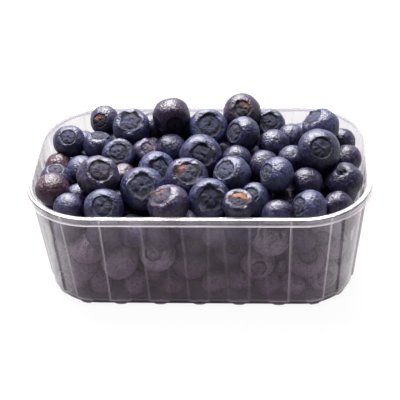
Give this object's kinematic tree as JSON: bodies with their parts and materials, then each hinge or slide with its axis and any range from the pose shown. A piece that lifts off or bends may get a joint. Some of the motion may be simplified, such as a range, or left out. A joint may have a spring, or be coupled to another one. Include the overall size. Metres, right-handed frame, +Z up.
{
  "type": "punnet of blueberries",
  "caption": "Clear rounded-rectangle plastic punnet with ribbed tapering walls, a turned-down rim and small feet, filled with a heap of blueberries that stands above the rim.",
  "frame": {"origin": "middle of the footprint, on the surface that the feet stand on", "axes": "+X along the long side, +Y from the front long side to the back one, +Z up"},
  "size_m": [0.145, 0.09, 0.0669],
  "materials": {
    "clear_plastic": "thin clear thermoformed plastic, glossy, slightly cloudy, bright along its edges and ribs",
    "blueberry_skin": "dark navy to purple-black fruit skin with a thin pale blue waxy bloom, dull satin sheen, brown dried crowns"
  },
  "bodies": {
    "root": {"punnet_tray": "clear_plastic", "berry_heap": "blueberry_skin"}
  },
  "joints": []
}
